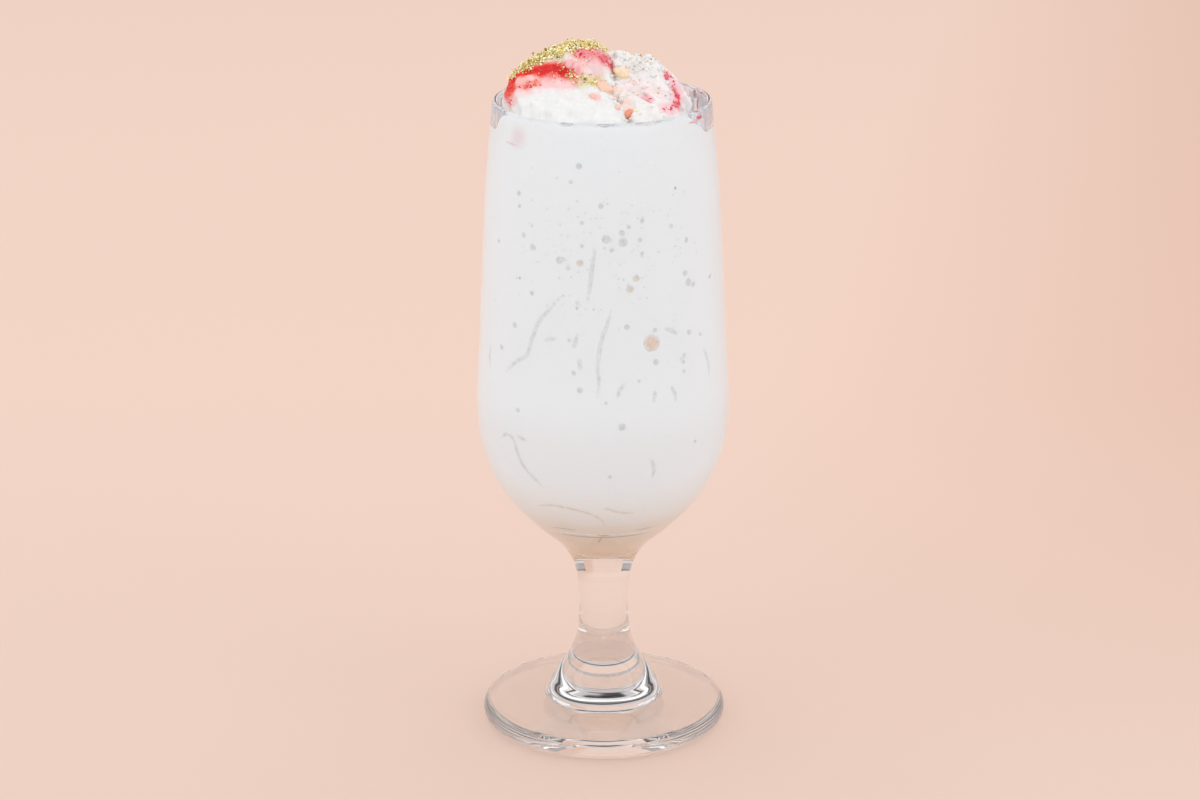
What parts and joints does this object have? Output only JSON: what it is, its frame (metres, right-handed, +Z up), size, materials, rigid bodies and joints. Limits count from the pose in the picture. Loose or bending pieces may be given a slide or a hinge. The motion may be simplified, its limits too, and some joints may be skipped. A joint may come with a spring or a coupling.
{
  "type": "falooda",
  "caption": "Tall footed glass of iced milk falooda, heaped with vanilla ice cream, rose syrup, crushed pistachio and bits of fruit.",
  "frame": {"origin": "middle of the foot, on the surface that the glass stands on", "axes": "+Z up along the glass's axis; -Y is the side that the picture shows"},
  "size_m": [0.07, 0.07, 0.1956],
  "materials": {
    "clear_glass": "clear pressed glass with a fire-polished lip",
    "iced_milk": "sweet iced milk, opaque white, thinner and beige at the bottom",
    "ice_cream": "vanilla ice cream, softly crumbly, melting where it touches",
    "rose_syrup": "wet red rose syrup",
    "pistachio": "crushed pistachio, yellow green with darker skins",
    "candied_fruit": "soft candied fruit, orange to coral",
    "noodles": "wet starch noodles seen through milk"
  },
  "bodies": {
    "root": {"glass": "clear_glass", "milk_drink": "iced_milk", "ice_cream_left": "ice_cream", "ice_cream_right": "ice_cream"}
  },
  "joints": []
}
